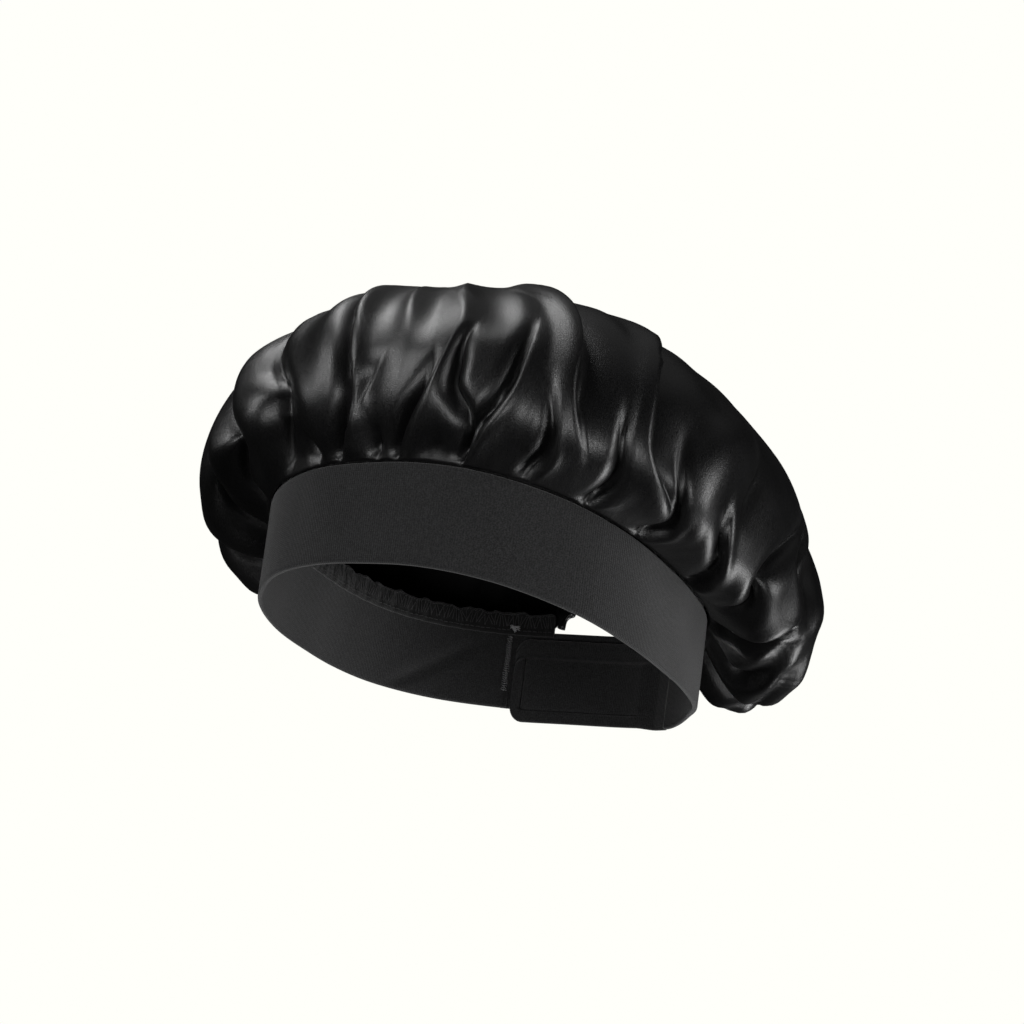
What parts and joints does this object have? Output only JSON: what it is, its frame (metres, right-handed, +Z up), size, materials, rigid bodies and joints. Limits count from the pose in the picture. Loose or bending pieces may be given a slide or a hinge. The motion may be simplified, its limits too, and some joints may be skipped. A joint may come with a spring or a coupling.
{
  "type": "sleep bonnet",
  "caption": "Round sleep bonnet: a full gathered satin crown on a knitted head band, closed behind by a strap and an inner tab under a small open gap.",
  "frame": {"origin": "middle of the head opening, level with the rim of the band", "axes": "+X to the wearer's left, +Y to the back of the head, +Z up; the front faces -Y"},
  "size_m": [0.2607, 0.2415, 0.148],
  "materials": {
    "satin": "black satin, soft sheen",
    "knit": "charcoal fine rib knit, matte",
    "thread": "overlocked thread, dark grey",
    "patch": "black hook and loop tape"
  },
  "bodies": {
    "root": {"crown": "satin", "band": "knit", "overlock_seam": "thread", "outer_strap": "knit", "closure_patch": "patch", "inner_tab": "knit", "back_hem": "satin"}
  },
  "joints": []
}
